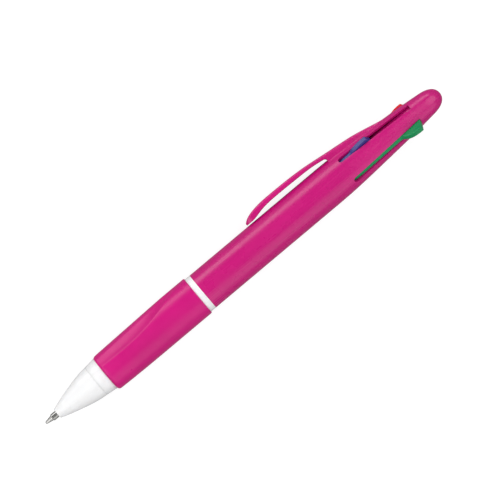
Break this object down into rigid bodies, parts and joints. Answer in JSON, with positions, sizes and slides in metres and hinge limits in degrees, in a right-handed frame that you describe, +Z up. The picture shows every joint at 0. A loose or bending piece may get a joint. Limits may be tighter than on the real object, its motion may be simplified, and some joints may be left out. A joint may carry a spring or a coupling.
{
  "type": "multicolour click pen",
  "caption": "Slim retractable ball pen with thumb sliders in slots, a moulded clip, a soft grip with finger scoops, a white trim ring and a white nose cone.",
  "frame": {"origin": "under the middle of the pen's box, on the surface that the pen lies on", "axes": "+X along the pen towards its domed tail, +Y the way the clip points, +Z up"},
  "size_m": [0.145, 0.0152, 0.0125],
  "materials": {
    "barrel_plastic": "glossy moulded magenta plastic",
    "grip_rubber": "satin soft-touch magenta rubber",
    "white_plastic": "smooth white plastic",
    "tube_plastic": "milky polypropylene",
    "point_metal": "turned nickel silver",
    "ball_carbide": "polished tungsten carbide",
    "spring_steel": "drawn spring wire",
    "slider_blue": "moulded blue plastic",
    "slider_green": "moulded green plastic",
    "slider_red": "moulded red plastic",
    "slider_black": "moulded black plastic",
    "ink_blue": "blue ball pen ink paste",
    "ink_green": "green ball pen ink paste",
    "ink_red": "red ball pen ink paste",
    "ink_black": "black ball pen ink paste"
  },
  "bodies": {
    "upper_section": {"upper_barrel": "barrel_plastic", "end_cap": "barrel_plastic", "spring_seat": "white_plastic", "return_spring_blue": "spring_steel", "return_spring_green": "spring_steel", "return_spring_red": "spring_steel", "return_spring_black": "spring_steel"},
    "trim_ring": {"trim_ring": "white_plastic"},
    "lower_section": {"nose_cone": "white_plastic", "lower_barrel": "white_plastic", "grip_sleeve": "grip_rubber"},
    "slider_blue": {"slider_blue": "slider_blue", "refill_tube_blue": "tube_plastic", "ink_column_blue": "ink_blue", "refill_point_blue": "point_metal", "writing_ball_blue": "ball_carbide"},
    "slider_green": {"slider_green": "slider_green", "refill_tube_green": "tube_plastic", "ink_column_green": "ink_green"},
    "point_green": {"refill_point_green": "point_metal", "writing_ball_green": "ball_carbide"},
    "slider_red": {"slider_red": "slider_red", "refill_tube_red": "tube_plastic", "ink_column_red": "ink_red"},
    "point_red": {"refill_point_red": "point_metal", "writing_ball_red": "ball_carbide"},
    "slider_black": {"slider_black": "slider_black", "refill_tube_black": "tube_plastic", "ink_column_black": "ink_black"},
    "point_black": {"refill_point_black": "point_metal", "writing_ball_black": "ball_carbide"}
  },
  "joints": [
    {"name": "blue_slide", "type": "slide", "parent": "upper_section", "child": "slider_blue", "axis": [-1, 0, 0], "range_m": [-0.0141, 0], "deforming": ["return_spring_blue"]},
    {"name": "green_slide", "type": "slide", "parent": "upper_section", "child": "slider_green", "axis": [-1, 0, 0], "range_m": [0, 0.0141], "stiffness_N_per_m": 90, "springref_m": -0.008, "deforming": ["return_spring_green", "refill_tube_green", "ink_column_green"]},
    {"name": "green_point_lag", "type": "slide", "parent": "slider_green", "child": "point_green", "axis": [-1, 0, 0], "range_m": [-0.0126, 0]},
    {"name": "red_slide", "type": "slide", "parent": "upper_section", "child": "slider_red", "axis": [-1, 0, 0], "range_m": [0, 0.0141], "stiffness_N_per_m": 90, "springref_m": -0.008, "deforming": ["return_spring_red", "refill_tube_red", "ink_column_red"]},
    {"name": "red_point_lag", "type": "slide", "parent": "slider_red", "child": "point_red", "axis": [-1, 0, 0], "range_m": [-0.0126, 0]},
    {"name": "black_slide", "type": "slide", "parent": "upper_section", "child": "slider_black", "axis": [-1, 0, 0], "range_m": [0, 0.0141], "stiffness_N_per_m": 90, "springref_m": -0.008, "deforming": ["return_spring_black", "refill_tube_black", "ink_column_black"]},
    {"name": "black_point_lag", "type": "slide", "parent": "slider_black", "child": "point_black", "axis": [-1, 0, 0], "range_m": [-0.0126, 0]},
    {"name": "section_unscrew_advance", "type": "slide", "parent": "upper_section", "child": "trim_ring", "axis": [-1, 0, 0], "range_m": [0, 0.005]},
    {"name": "section_unscrew", "type": "hinge", "parent": "trim_ring", "child": "lower_section", "pos_m": [-0.0147, -0.00136, 0.00625], "axis": [-1, 0, 0], "range_deg": [0, 1440]}
  ],
  "couplings": [
    {"joint": "green_point_lag", "follows": "green_slide", "ratio": -0.89362},
    {"joint": "red_point_lag", "follows": "red_slide", "ratio": -0.89362},
    {"joint": "black_point_lag", "follows": "black_slide", "ratio": -0.89362},
    {"joint": "section_unscrew", "follows": "section_unscrew_advance", "rad_per_m": 5026.5}
  ]
}
